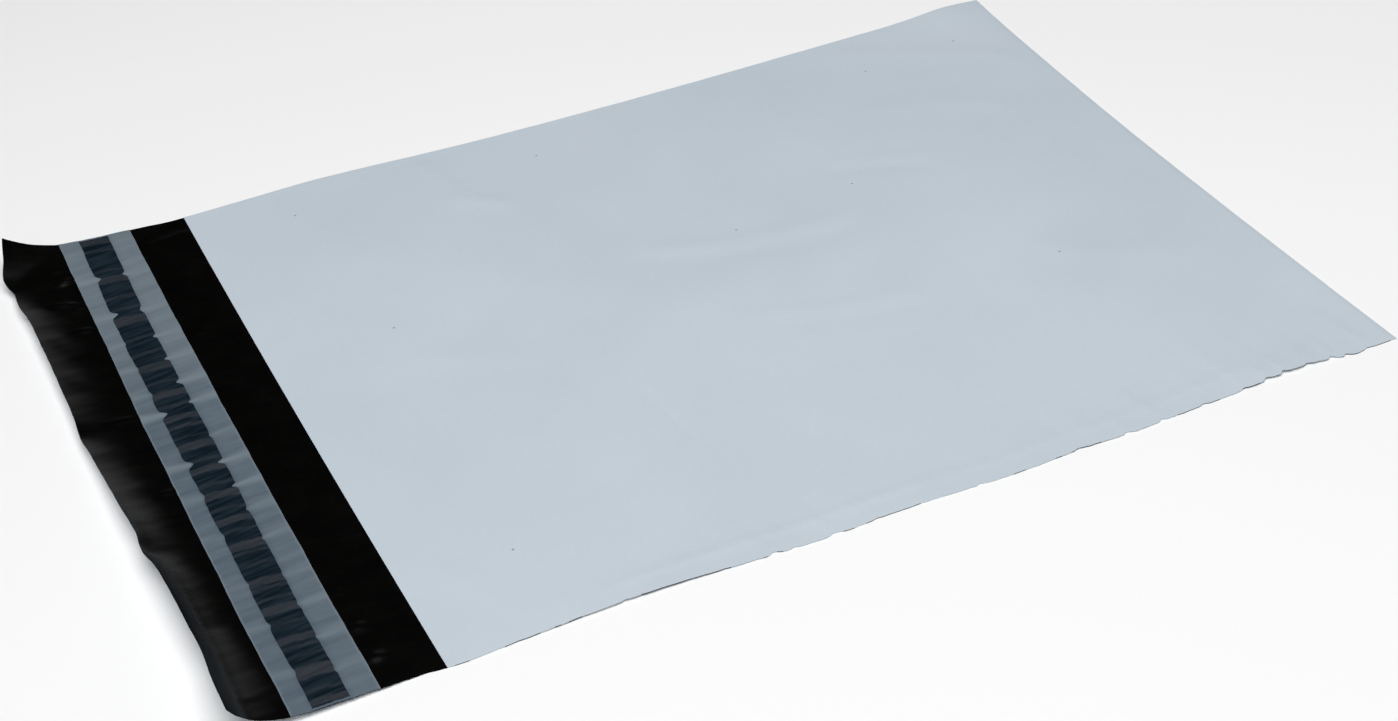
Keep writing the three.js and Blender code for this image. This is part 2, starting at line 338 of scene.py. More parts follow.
# Soft creases in the front panel: start, end, sag, half width, height.
PANEL_CREASES = (
    ((0, 25), (58, 13), -4.0, 2.2, 0.40), ((2, 20), (60, 8), -4.0, 3.6, -0.22),
    ((14, -16), (58, -27), -2.5, 2.0, 0.34), ((18, -21), (58, -31), -2.0, 3.0, -0.16),
    ((-33, 74), (-19, 63), 0.0, 1.7, 0.50), ((62, 35), (90, 25), 1.0, 1.6, -0.60),
    ((70, 40), (92, 34), 1.0, 1.6, -0.22), ((-35, 98), (-29, 74), 0.8, 1.5, 0.34),
    ((-24, -27), (-20, -56), 0.6, 1.3, -0.13), ((86, 60), (128, 40), 2.5, 4.0, 0.24),
    ((92, -22), (132, -44), -3.0, 4.6, 0.24), ((-70, 8), (-38, -8), 2.0, 4.6, 0.24),
    ((-62, -94.2), (30, -93.6), 0.5, 1.1, 0.21), ((26, -93.8), (112, -93.0), -0.5, 1.1, 0.17),
    ((96, 92), (146, 62), 2.0, 3.4, 0.22), ((110, -90), (146, -58), 1.5, 3.0, 0.22),
    ((-96, -60), (-78, -96), 1.0, 3.0, 0.16), ((-94, 62), (-70, 97), -1.0, 3.0, 0.16),
)
# Where the side welds don't lie flat on the table: place along X, half width, height.
NEAR_LIFTS = ((-55, 21, 0.5), (119, 12, 0.75), (65, 20, 0.12))
FAR_LIFTS = ((-64, 17, 0.45), (138, 11, 1.1))
LIFT_REACH = 9  # how far in from the side edge
GAP_BESIDE_WELDS = 0.10
GAP_IN_MIDDLE = 0.62  # more than that


def edge_lift(x, v):
    """Height of both plies above the table."""
    total = 0.0
    for lifts, from_edge in ((NEAR_LIFTS, v + HALF_WIDTH), (FAR_LIFTS, HALF_WIDTH - v)):
        lifted = sum(height * bump(x, place, half_width) for place, half_width, height in lifts)
        total = total + lifted * bump(np.clip(from_edge, 0, None), 0, LIFT_REACH)
    return total


def weld_puckers(x, v):
    """Fine gathers that run in from the welds and die out in a few millimetres."""
    from_near = np.clip(v + WELD_LINE, 0, None)
    from_far = np.clip(WELD_LINE - v, 0, None)
    near = waves(x + 0.25 * from_near, 31, 15.0) * np.exp(-from_near / 5.5) * from_near / 3.5
    far = waves(x - 0.25 * from_far, 32, 24.0) * np.exp(-from_far / 5.0) * from_far / 5.0
    teeth = sum(tooth(x, c, w * 1.3, d) for c, w, d in NEAR_TEETH)
    return 0.22 * near + 0.12 * far + 0.35 * teeth * np.exp(-from_near / 2.2)


def pocket_gap(p, v):
    """Clear height between the plies, none at the welds."""
    inside = np.clip((WELD_LINE - np.abs(v)) / WELD_LINE, 0, 1)
    side = ease(inside / 0.35)
    along = ramp(0.12, p / 70) * ramp(0.10, (POCKET_LENGTH - p) / 60)
    return inside ** 0.5 * (GAP_BESIDE_WELDS + GAP_IN_MIDDLE * side * along)


def panel_folds(x, v):
    """Height of the front panel's creases and of its gentle rolling."""
    total = 0.12 * rolling(x, v, 41, 96.0)
    total = total + 0.045 * rolling(x, v, 42, 34.0)
    for start, end, sag, half_width, height in PANEL_CREASES:
        total = total + height * crease(x, v, start, end, sag, half_width)
    return total


def pocket_x(p, v, arc):
    """X at the distance p from the mouth; arc is the radius of the bottom fold."""
    share = p / POCKET_LENGTH
    return mouth_x(v) * (1 - share) + (fold_x(v) - arc) * share


def fold_arc(v):
    """Outer radius of the bottom fold."""
    return FILM + pocket_gap(POCKET_LENGTH, v) / 2


def under_surface(p, v):
    """The back panel's outer face."""
    x = pocket_x(p, v, fold_arc(v))
    return np.stack([x, across(x, v), edge_lift(x, v)], -1)


def over_height(p, x, v):
    """Height of the front panel's outer face above the back panel's."""
    inside = np.clip((WELD_LINE - np.abs(v)) / WELD_LINE, 0, 1)
    free = ease(inside / 0.06) * ease((POCKET_LENGTH - p) / 10) * ramp(0.15, p / 16)
    gap = pocket_gap(p, v)
    folds = panel_folds(x, v) * free + weld_puckers(x, v) * ease(inside / 0.02)
    folds = folds * ease((POCKET_LENGTH - p) / 3) * ramp(0.2, p / 6)
    weld = WELD_PROUD * (1 - ease(inside / 0.004))
    return 2 * FILM + weld + np.maximum(gap + folds, 0.25 * gap)


def over_surface(p, v):
    """The front panel's outer face."""
    point = under_surface(p, v)
    point[..., 2] += over_height(p, point[..., 0], v)
    return point


# ---------------------------------------------------------------- mesh building

class Shell:
    """Collects grids of points into one mesh with a UV map and materials."""

    def __init__(self):
        self.points = []
        self.uvs = []
        self.count = 0
        self.faces = []
        self.face_material = []

    def add(self, points, uv):
        """Adds a grid of points in millimetres with their UVs, and returns their indices."""
        shape = points.shape[:-1]
        total = int(np.prod(shape))
        self.points.append(points.reshape(-1, 3) * MM)
        self.uvs.append(np.broadcast_to(uv, shape + (2,)).reshape(-1, 2))
        index = np.arange(self.count, self.count + total).reshape(shape)
        self.count += total
        return index

    def face(self, corners, material):
        """Adds one face, without the corners that repeat."""
        kept = [c for i, c in enumerate(corners) if c != corners[i - 1]]
        if len(set(kept)) >= 3:
            self.faces.append(kept)
            self.face_material.append(material)

    def skin(self, index, material, turned=False):
        """Adds the quads between neighbouring points of a grid of indices."""
        a, b = index[:-1, :-1], index[:-1, 1:]
        c, d = index[1:, 1:], index[1:, :-1]
        quads = np.stack([a, d, c, b] if turned else [a, b, c, d], -1).reshape(-1, 4)
        for quad in quads.tolist():
            self.face(quad, material)

    def between(self, many, few, material, turned=False):
        """Joins a row of points to a row with fewer cells, each beside its share of the first."""
        ratio = (len(many) - 1) // (len(few) - 1)
        for k in range(len(few) - 1):
            fine = [int(i) for i in many[k * ratio:(k + 1) * ratio + 1]]
            corners = fine + [int(few[k + 1]), int(few[k])]
            self.face(corners[::-1] if turned else corners, material)

    def underside_and_rims(self, bottom, top):
        """Closes a sheet whose top is there already, with the first material."""
        self.skin(bottom, 0)
        self.skin(np.stack([bottom[0], top[0]]), 0, turned=True)
        self.skin(np.stack([bottom[-1], top[-1]]), 0)
        self.skin(np.stack([bottom[:, 0], top[:, 0]]), 0)
        self.skin(np.stack([bottom[:, -1], top[:, -1]]), 0, turned=True)

    def build(self, name, materials):
        used = np.unique(np.concatenate(self.faces))
        renumbered = np.full(self.count, -1)
        renumbered[used] = np.arange(len(used))
        faces = [renumbered[face].tolist() for face in self.faces]
        mesh = bpy.data.meshes.new(name)
        mesh.from_pydata(np.concatenate(self.points)[used].tolist(), [], faces)
        for material in materials:
            mesh.materials.append(material)
        mesh.polygons.foreach_set("material_index", self.face_material)
        loops = np.zeros(len(mesh.loops), np.int64)
        mesh.loops.foreach_get("vertex_index", loops)
        uv_layer = mesh.uv_layers.new(name="OFBake")
        uv_layer.data.foreach_set("uv", np.concatenate(self.uvs)[used][loops].ravel())
        piece = bpy.data.objects.new(name, mesh)
        bpy.context.scene.collection.objects.link(piece)
        return piece


def set_shading(piece, sharp_degrees):
    mesh = piece.data
    mesh.polygons.foreach_set("use_smooth", [True] * len(mesh.polygons))
    mesh.set_sharp_from_angle(angle=math.radians(sharp_degrees))
    mesh.update()


def set_value(piece, name, values):
    """Stores one number for each vertex, for the materials to read."""
    attribute = piece.data.attributes.new(name, "FLOAT", "POINT")
    attribute.data.foreach_set("value", np.asarray(values, np.float32).ravel())


ATLAS = 420.0  # millimetres of film along one side of the UV square
OUTSIDE_CORNER = (2, 206)  # places of the film's patches in it, in the same millimetres
FRONT_CORNER = (2, 2)
LIP_INSIDE_CORNER = (312, 206)
BACK_INSIDE_CORNER = (256, 2)
FRONT_INSIDE_CORNER = (256, 104)
FOLD_INSIDE_CORNER = (384, 104)
FOLD_STRETCH = 0.3  # millimetres of atlas for each radian of the bottom fold


def atlas(u, v, corner):
    """UVs of a patch laid flat in the atlas, from its own millimetres."""
    u, v = np.broadcast_arrays(u, v)
    return np.stack([(corner[0] + u) / ATLAS, (corner[1] + v) / ATLAS], -1)


def strip_uv(u, v, room):
    """UVs of a strip's top face; room is the width in millimetres that the UV square holds."""
    return np.stack([0.02 + (u - u.min()) / room, (v + HALF_WIDTH) / 210 + 0.02], -1)


# ---------------------------------------------------------------- film piece

OUTSIDE, INSIDE = 0, 1
SIDE_COLUMNS = (100.0, 99.3, 98.6, 97.2, 95.6, 94.4, 93.2, 92.0)  # coarse columns near a weld
WELD_COLUMN = 2  # index of the weld's inner line among them
FINE_SHARE = 3  # fine columns in each coarse one
PANEL_ROWS = 227
FOLD_STEPS = 5


def panel_rows():
    """Distances from the mouth to the bottom fold, closer together at the near weld's nicks."""
    even = np.arange(0, POCKET_LENGTH + 0.1, 0.5)
    places = even + MOUTH_X
    density = 1 + 1.8 * np.minimum(sum(bump(places, place, 2.4) for place, _, _ in NEAR_TEETH), 1)
    reached = np.append(0, np.cumsum((density[1:] + density[:-1]) / 2))
    return np.interp(np.linspace(0, reached[-1], PANEL_ROWS + 1), reached, even)


def film_columns():
    """Places across the bag: coarse columns for the pocket, fine ones for the lip."""
    sides = HALF_WIDTH * np.array(SIDE_COLUMNS) / SIDE_COLUMNS[0]
    coarse = np.concatenate([-sides, np.arange(-90, 91, 3), sides[::-1]])
    shares = np.arange(FINE_SHARE) / FINE_SHARE
    fine = (coarse[:-1, None] + np.diff(coarse)[:, None] * shares).ravel()
    return coarse, np.append(fine, coarse[-1])


def bottom_fold(under_edge, over_edge, angles):
    """Points round the fold, between the edges of its lower and upper ply."""
    radius = (over_edge[:, 2] - under_edge[:, 2]) / 2
    centre = (over_edge + under_edge) / 2
    return np.stack([
        centre[:, 0] + radius * np.sin(angles),
        np.broadcast_to(centre[:, 1], (len(angles), len(centre))),
        centre[:, 2] - radius * np.cos(angles),
    ], -1)


def make_film(outside, inside):
    shell = Shell()
    coarse, fine = film_columns()
    inner = slice(WELD_COLUMN, len(coarse) - WELD_COLUMN)
    lip_rows = np.concatenate([np.arange(50, 35, -0.6), np.arange(35, 0.5, -1.15), [0.0]])
    u, v = np.meshgrid(lip_rows, fine, indexing="ij")
    under_lip = lip_face(u, v, np.full(u.shape, -FILM))
    top_lip = lip_face(u, v, np.zeros(u.shape))
    p_rows = panel_rows()
    p, w = np.meshgrid(p_rows, coarse, indexing="ij")
    under = under_surface(p, w)
    over = over_surface(p, w)
    under_lip[-1] = under_surface(np.zeros_like(fine), fine)
    top_lip[-1] = under_lip[-1] + (0, 0, FILM)

    # Outer faces: lip and back panel below, fold, front panel above.
    lip_out = shell.add(under_lip, atlas(LIP_LENGTH - u, v + HALF_WIDTH, OUTSIDE_CORNER))
    back_uv = atlas(LIP_LENGTH + p, w + HALF_WIDTH, OUTSIDE_CORNER)
    back_out = shell.add(under[1:], back_uv[1:])
    front_out = shell.add(over, atlas(p, w + HALF_WIDTH, FRONT_CORNER))
    shell.skin(lip_out, OUTSIDE)
    shell.between(lip_out[-1], back_out[0], OUTSIDE)
    shell.skin(back_out, OUTSIDE)
    shell.skin(front_out, OUTSIDE, turned=True)
    angles = np.linspace(0, math.pi, FOLD_STEPS + 1)[1:-1, None]
    round_length = LIP_LENGTH + POCKET_LENGTH + FOLD_STRETCH * angles
    fold_uv = atlas(round_length, coarse + HALF_WIDTH, OUTSIDE_CORNER)
    fold_out = shell.add(bottom_fold(under[-1], over[-1], angles), fold_uv)
    fold = np.concatenate([back_out[-1:], fold_out, front_out[-1:]])
    shell.skin(fold, OUTSIDE)

    # Inner faces: lip, then the pocket's back, its fold and its front.
    lip_in = shell.add(top_lip, atlas(LIP_LENGTH - u, v + HALF_WIDTH, LIP_INSIDE_CORNER))
    shell.skin(lip_in, INSIDE, turned=True)
    back = under[1:, inner] + (0, 0, FILM)
    front = over[:, inner] - (0, 0, FILM)
    back[:, [0, -1]] = (back[:, [0, -1]] + front[1:, [0, -1]]) / 2
    half_v = (w[:, inner] + HALF_WIDTH) / 2  # the pocket's inside is at half size in the atlas
    back_in = shell.add(back, atlas(p[1:, inner] / 2, half_v[1:], BACK_INSIDE_CORNER))
    front_in = shell.add(front, atlas(p[:, inner] / 2, half_v, FRONT_INSIDE_CORNER))
    front_in[1:, [0, -1]] = back_in[:, [0, -1]]
    weld_fine = WELD_COLUMN * FINE_SHARE
    mouth = lip_in[-1, weld_fine:len(fine) - weld_fine]
    front_in[0, [0, -1]] = mouth[[0, -1]]
    shell.between(mouth, back_in[0], INSIDE, turned=True)
    shell.skin(back_in, INSIDE, turned=True)
    shell.skin(front_in, INSIDE)
    fold_uv = atlas(FOLD_STRETCH * angles, half_v[-1:], FOLD_INSIDE_CORNER)
    fold_in = shell.add(bottom_fold(back[-1], front[-1], angles), fold_uv)
    fold_in[:, [0, -1]] = back_in[-1, [0, -1]]
    shell.skin(np.concatenate([back_in[-1:], fold_in, front_in[-1:]]), INSIDE, turned=True)

    # Rims: the lip's cut edges, the mouth's edge, the weld ends and the side cuts.
    shell.skin(np.stack([lip_out[0], lip_in[0]]), INSIDE, turned=True)
    shell.skin(np.stack([front_out[0, inner], front_in[0]]), OUTSIDE)
    dark_cut = waves(p_rows, 51, 46.0) > 0.1  # where the near cut's wall is black: partly the black ply in the cut, partly painted shade for the shadow line beneath it
    for end, order in ((0, 1), (-1, -1)):
        shell.skin(np.stack([lip_out[:, end], lip_in[:, end]]), INSIDE, turned=end != 0)
        lower = np.concatenate([lip_out[-1:, end], back_out[:, end]])
        upper = front_out[:, end]
        first = np.array([lower[0], lower[1], upper[1], upper[0], lip_in[-1, end]])
        shell.face(first[::order].tolist(), OUTSIDE)
        for k in range(1, PANEL_ROWS):
            wall = np.array([lower[k], lower[k + 1], upper[k + 1], upper[k]])
            side = INSIDE if dark_cut[k] and end == 0 else OUTSIDE
            shell.face(wall[::order].tolist(), side)
        shell.face(fold[::order, end].tolist(), OUTSIDE)
    for fine_part, coarse_part in (
        (slice(0, weld_fine + 1), slice(0, WELD_COLUMN + 1)),
        (slice(-1 - weld_fine, None), slice(-1 - WELD_COLUMN, None)),
    ):
        shell.between(lip_in[-1, fine_part], front_out[0, coarse_part], OUTSIDE, turned=True)
    return shell.build("mailer_film_skin", [outside, inside])


# ---------------------------------------------------------------- adhesive and liner

# Notches in the adhesive's outline: place along Y, depth, half width; the outer side faces the
# lip's free edge, the inner side the mouth.
OUTER_NOTCHES = (
    (81.0, 1.2, 1.1), (63.3, 1.9, 1.2), (49.5, 0.3, 1.0), (37.5, 0.3, 1.2), (25.0, 0.4, 1.2),
    (15.8, 1.8, 1.3), (-6.2, 1.8, 1.4), (-19.5, 0.6, 1.6), (-35.5, 0.5, 1.6), (-54.0, 0.3, 1.4),
    (-69.4, 0.5, 1.2), (-86.5, 0.4, 1.6),
)
INNER_NOTCHES = (
    (80.5, 0.9, 1.0), (62.5, 0.7, 1.6), (49.2, 0.9, 0.7), (38.2, 1.1, 0.7), (27.2, 1.3, 1.0),
    (17.8, 0.9, 0.7), (2.5, 0.4, 1.0), (-8.6, 1.6, 0.9), (-18.8, 1.2, 0.7), (-28.5, 0.5, 0.9),
    (-40.3, 0.4, 0.8), (-54.5, 0.2, 1.0), (-65.5, 0.3, 1.0), (-78.0, 0.3, 0.9), (-90.0, 0.3, 1.0),
)
# Paler cross bands where the liner has let go of the adhesive: place along Y, half width, share.
PALE_BANDS = (
    (97.6, 1.3, 0.7), (93.2, 0.6, 0.5), (83.9, 0.5, 0.5), (79.5, 1.5, 1.0), (70.6, 0.9, 0.55),
    (65.0, 0.5, 0.5), (59.3, 2.0, 1.0), (50.3, 0.7, 0.4), (43.2, 0.7, 0.5), (40.2, 0.4, 0.3),
    (36.2, 1.6, 0.9), (29.0, 0.6, 0.5), (23.6, 1.4, 1.0), (18.3, 0.7, 0.6), (13.0, 1.1, 0.9),
    (9.3, 0.7, 0.8), (4.6, 0.4, 0.4), (0.6, 1.5, 1.0), (-5.7, 0.6, 0.5), (-9.6, 1.2, 0.95),
    (-15.9, 0.7, 0.5), (-20.4, 1.4, 1.0), (-26.0, 0.6, 0.5), (-30.6, 1.2, 1.0), (-34.8, 0.5, 0.4),
    (-40.7, 1.5, 1.0), (-43.4, 0.5, 0.6), (-47.9, 0.6, 0.4), (-54.6, 1.2, 0.9), (-57.0, 0.5, 0.7),
    (-61.0, 0.5, 0.5), (-65.0, 1.4, 1.0), (-70.2, 0.6, 0.45), (-76.2, 1.2, 0.95),
    (-79.0, 0.5, 0.6), (-82.3, 0.4, 0.4), (-88.0, 2.0, 1.0), (-94.2, 0.5, 0.45), (-97.9, 1.0, 0.9),
)


def glue_edges(v):
    """Distances from the mouth of the adhesive's inner and outer edge."""
    drift = 0.2 - 0.95 * ease((v - 45) / 50)
    outer = GLUE_CENTRE + GLUE_HALF + drift + 0.16 * waves(v, 61, 23.0)
    inner = GLUE_CENTRE - GLUE_HALF + 0.5 * drift - 0.4 * bump(v, 0, 28) + 0.08 * waves(v, 62, 19.0)
    for place, depth, half_width in OUTER_NOTCHES:
        outer = outer - depth * bump(v, place, half_width) ** 1.3
    for place, depth, half_width in INNER_NOTCHES:
        inner = inner + depth * bump(v, place, half_width) ** 1.3
    return inner, outer


def pale_share(u, v):
    """How far the liner has let go of the adhesive, 0 to 1."""
    middle = (u - GLUE_CENTRE) / GLUE_HALF
    bent = v + 0.35 * middle**2 - 0.25 * middle + 0.28 * waves(u * 1.3 + 0.35 * v, 63, 7.0)
    total = 0.0
    for place, half_width, share in PALE_BANDS:
        edge = (half_width - np.abs(bent - place)) / 0.6 + 0.5
        total = np.maximum(total, share * ease(edge))
    return total


def liner_ridges(u, v, inner, outer):
    """Height of the cross wrinkles in the liner, beside the adhesive and over it."""
    total = 0.0
    outside = ease((u - outer + 0.3) / 1.2)
    inside = ease((inner - u + 0.3) / 1.2)
    beyond = np.clip(u - outer, 0, None)
    before = np.clip(inner - u, 0, None)
    for place, depth, half_width in OUTER_NOTCHES:
        side = (v - place - 0.12 * beyond) / (0.55 * half_width + 0.13 * beyond + 0.3)
        total = total + outside * (0.06 + 0.07 * depth) * np.exp(-(side**2))
    for place, depth, half_width in INNER_NOTCHES:
        side = (v - place - 0.10 * before) / (0.6 * half_width + 0.13 * before + 0.3)
        total = total + inside * (0.07 + 0.08 * depth) * np.exp(-(side**2))
    for seed, mask in ((64, outside), (65, inside)):
        total = total + mask * 0.050 * (1 + waves(v + 0.15 * u, seed, 9.5, 5))
    return total


LINER_ROWS = 600
CELLS_INSIDE, CELLS_OVER, CELLS_OUTSIDE = 10, 12, 9  # of the liner: before, over and past the glue
GLUE_ROWS = 420
GLUE_CELLS = 14


def make_liner(dry, wet):
    rows = np.linspace(-HALF_WIDTH, HALF_WIDTH, LINER_ROWS + 1)
    inner, outer = (edge[:, None] for edge in glue_edges(rows))
    beside_in = LINER_INNER + (inner - LINER_INNER) * np.linspace(0, 1, CELLS_INSIDE + 1)
    over = inner + (outer - inner) * np.linspace(0, 1, CELLS_OVER + 1)[1:]
    outer_edge = LINER_OUTER - 0.2 - 0.6 * ease((rows[:, None] - 15) / 45)
    beside_out = outer + (outer_edge - outer) * np.linspace(0, 1, CELLS_OUTSIDE + 1)[1:]
    wander = 0.12 * waves(rows, 66, 41.0)[:, None]
    u = np.concatenate([beside_in, over, beside_out], 1) + wander
    v = np.broadcast_to(rows[:, None], u.shape)
    over_glue = ease((u - inner + 0.25) / 0.7) * ease((outer - u + 0.25) / 0.7)
    ends = ease(GLUE_FAR_END + 1.0 - v)
    pale = pale_share(u, v)
    ridges = liner_ridges(u, v, inner, outer)
    height = STACK_GAP + over_glue * ends * (GLUE_THICK + 0.05 * pale) + ridges
    shell = Shell()
    top_uv = strip_uv(u, v, 45)
    bottom = shell.add(lip_face(u, v, height), top_uv + (0.5, 0))
    top = shell.add(lip_face(u, v, height + LINER_FILM), top_uv)
    first_wet = CELLS_INSIDE
    last_wet = CELLS_INSIDE + CELLS_OVER
    start = int(np.argmax(rows > GLUE_NEAR_END))
    stop = LINER_ROWS - start  # the wet part ends equally far from both welds
    wet_part = slice(first_wet, last_wet + 1)
    shell.skin(top[:, :first_wet + 1], 0, turned=True)
    shell.skin(top[:start + 1, wet_part], 0, turned=True)
    shell.skin(top[start:stop + 1, wet_part], 1, turned=True)
    shell.skin(top[stop:, wet_part], 0, turned=True)
    shell.skin(top[:, last_wet:], 0, turned=True)
    shell.underside_and_rims(bottom, top)
    liner = shell.build("release_liner_film", [dry, wet])
    # Paler liner: where its wrinkles stand off the black film, partly real and partly a painted
    # highlight on them; also paler towards the far end and on the mouth side of the adhesive.
    far_end = 0.54 * ease(v / 60)
    mouth_side = 0.12 * ease((inner - u) / 2)
    lifted = np.clip(ridges / 0.25 + far_end + mouth_side, 0, 1)
    # A painted highlight along the liner's cut edges, stored with its paleness in the lifted
    # attribute.
    edge_distance = np.minimum(u - u.min(1, keepdims=True), u.max(1, keepdims=True) - u)
    painted_edge_highlight = 1 - ease(edge_distance / 0.5)
    set_value(liner, "pale", np.tile(pale.ravel(), 2))
    set_value(liner, "lifted", np.tile(np.maximum(lifted, 0.9 * painted_edge_highlight).ravel(), 2))
    return liner


def make_adhesive(material):
    rows = np.linspace(GLUE_NEAR_END, GLUE_FAR_END, GLUE_ROWS + 1)
    inner, outer = (edge[:, None] for edge in glue_edges(rows))
    share = np.linspace(0, 1, GLUE_CELLS + 1)
    u = inner + (outer - inner) * share
    v = np.broadcast_to(rows[:, None], u.shape)
    crown = 1 - np.abs(2 * share - 1) ** 4
    pressed = 0.012 * waves(v, 67, 4.2)
    top_height = 0.025 + (GLUE_THICK - 0.045) * crown + pressed * crown
    shell = Shell()
    top_uv = strip_uv(u, v, 22)
    bottom = shell.add(lip_face(u, v, np.full(u.shape, 0.01)), top_uv + (0.5, 0))
    top = shell.add(lip_face(u, v, top_height), top_uv)
    shell.skin(top, 0, turned=True)
    shell.underside_and_rims(bottom, top)
    return shell.build("adhesive_bead", [material])


# ---------------------------------------------------------------- materials

class Nodes:
    """A node tree, with a short call for each kind of node."""

    def __init__(self, tree, coordinates):
        self.tree = tree
        self.place = tree.nodes.new("ShaderNodeTexCoord").outputs[coordinates]

    def link(self, source, target):
        self.tree.links.new(source, target)

    def new(self, kind, **inputs):
        node = self.tree.nodes.new(kind)
        for name, value in inputs.items():
            socket = node.inputs[name.replace("_", " ")]
            if isinstance(value, bpy.types.NodeSocket):
                self.link(value, socket)
            else:
                socket.default_value = value
        return node

    def stretched(self, x, y, z, turned=0.0):
        """Coordinates scaled along each axis, after a turn round Z in degrees."""
        turn = self.new("ShaderNodeMapping", Vector=self.place)
        turn.inputs["Rotation"].default_value = (0.0, 0.0, math.radians(turned))
        node = self.new("ShaderNodeMapping", Vector=turn.outputs["Vector"])
        node.inputs["Scale"].default_value = (x, y, z)
        return node.outputs["Vector"]

    def noise(self, scale, detail=2.0, roughness=0.5, vector=None):
        node = self.new("ShaderNodeTexNoise", Scale=scale, Detail=detail, Roughness=roughness)
        self.link(vector or self.place, node.inputs["Vector"])
        return node.outputs["Fac"]

    def remap(self, value, low, high, to_low, to_high, smooth=False):
        node = self.new("ShaderNodeMapRange", Value=value)
        node.interpolation_type = "SMOOTHSTEP" if smooth else "LINEAR"
        for name, number in (
            ("From Min", low), ("From Max", high), ("To Min", to_low), ("To Max", to_high),
        ):
            node.inputs[name].default_value = number
        return node.outputs["Result"]

    def math(self, operation, a, b):
        node = self.tree.nodes.new("ShaderNodeMath")
        node.operation = operation
        for socket, value in zip(node.inputs, (a, b)):
            if isinstance(value, bpy.types.NodeSocket):
                self.link(value, socket)
            else:
                socket.default_value = value
        return node.outputs[0]

    def mix(self, share, a, b):
        node = self.tree.nodes.new("ShaderNodeMix")
        node.data_type = "RGBA"
        for name, value in (("Factor_Float", share), ("A_Color", a), ("B_Color", b)):
            socket = next(s for s in node.inputs if s.identifier == name)
            if isinstance(value, bpy.types.NodeSocket):
                self.link(value, socket)
            elif name == "Factor_Float":
                socket.default_value = value
            else:
                socket.default_value = (*value, 1.0)
        return next(s for s in node.outputs if s.identifier == "Result_Color")

    def attribute(self, name):
        node = self.tree.nodes.new("ShaderNodeAttribute")
        node.attribute_name = name
        return node.outputs["Fac"]

    def bump(self, height, distance, strength=1.0, after=None):
        node = self.new("ShaderNodeBump", Height=height, Strength=strength, Distance=distance)
        if after is not None:
            self.link(after, node.inputs["Normal"])
        return node.outputs["Normal"]


class Look(Nodes):
    """A material made of nodes, placed by the object's own coordinates."""

    def __init__(self, name):
        self.material = bpy.data.materials.new(name)
        self.material.use_nodes = True
        super().__init__(self.material.node_tree, "Object")
        self.shader = self.tree.nodes["Principled BSDF"]

    def finish(self, colour, roughness, normal=None, **fixed):
        self.link(colour, self.shader.inputs["Base Color"])
        if isinstance(roughness, bpy.types.NodeSocket):
            self.link(roughness, self.shader.inputs["Roughness"])
        else:
            self.shader.inputs["Roughness"].default_value = roughness
        if normal is not None:
            self.link(normal, self.shader.inputs["Normal"])
        for name, value in fixed.items():
            self.shader.inputs[name.replace("_", " ")].default_value = value
        return self.material


def outside_film():
    """Light blue-grey polyethylene: satin, faintly mottled, with drawn streaks and gel specks."""
    n = Look("film_outside")
    clouds = n.noise(17.0, 2.0)
    drawn = n.noise(1.0, 2.0, vector=n.stretched(420.0, 9.0, 9.0))
    fine = n.noise(900.0, 2.0)
    tone = n.math("ADD", n.math("MULTIPLY", clouds, 0.70), n.math("MULTIPLY", drawn, 0.06))
    tone = n.math("ADD", tone, n.math("MULTIPLY", fine, 0.24))
    colour = n.mix(n.remap(tone, 0.35, 0.65, 0.0, 1.0), (0.508, 0.574, 0.632), (0.544, 0.608, 0.668))
    cells = n.new("ShaderNodeTexVoronoi", Vector=n.stretched(30.0, 30.0, 30.0), Scale=1.0)
    cells.voronoi_dimensions = "2D"
    speck = n.remap(cells.outputs["Distance"], 0.004, 0.013, 1.0, 0.0)
    separate = n.new("ShaderNodeSeparateColor", Color=cells.outputs["Color"])
    rare = n.math("GREATER_THAN", separate.outputs["Red"], 0.72)
    colour = n.mix(n.math("MULTIPLY", speck, rare), colour, (0.22, 0.25, 0.28))
    roughness = n.remap(n.noise(60.0, 3.0), 0.3, 0.7, 0.36, 0.46)
    normal = n.bump(n.noise(330.0, 3.0, 0.6), 0.000020, 0.5)
    normal = n.bump(n.noise(1.0, 2.0, vector=n.stretched(900.0, 26.0, 26.0)), 0.000004, 0.4, normal)
    return n.finish(colour, roughness, normal, IOR=1.5)


def inside_film():
    """Black polyethylene: satin, with fine ripples across the web."""
    n = Look("film_inside")
    haze = n.noise(140.0, 3.0)
    tone = n.remap(haze, 0.3, 0.7, 0.0, 1.0)
    colour = n.mix(tone, (0.0007, 0.0007, 0.0006), (0.0013, 0.0013, 0.0011))
    drawn = n.noise(1.0, 3.0, vector=n.stretched(60.0, 700.0, 60.0))
    roughness = n.remap(n.math("ADD", haze, drawn), 0.7, 1.3, 0.22, 0.28)
    normal = n.bump(n.noise(420.0, 3.0, 0.6), 0.000016, 0.5)
    normal = n.bump(drawn, 0.000020, 0.4, normal)
    return n.finish(colour, roughness, normal, IOR=1.5, Specular_IOR_Level=0.25)


def liner_dry():
    """Frosted blue-grey release film over black film: paler where it stands off it, with painted
    highlights on its wrinkles and cut edges.
    """
    n = Look("liner_dry")
    lifted = n.attribute("lifted")
    haze = n.noise(1.0, 3.0, 0.6, vector=n.stretched(70.0, 520.0, 70.0))
    base = n.mix(n.remap(haze, 0.32, 0.68, 0.0, 1.0), (0.066, 0.092, 0.119), (0.086, 0.116, 0.147))
    # Paler by the lifted attribute: partly the liner standing off the black film, partly painted
    # highlights on its wrinkles and cut edges.
    colour = n.mix(n.math("MULTIPLY", lifted, 0.75), base, (0.185, 0.225, 0.255))
    roughness = n.remap(n.noise(220.0, 2.0), 0.3, 0.7, 0.34, 0.44)
    normal = n.bump(haze, 0.000030, 0.5)
    return n.finish(colour, roughness, normal, IOR=1.45)


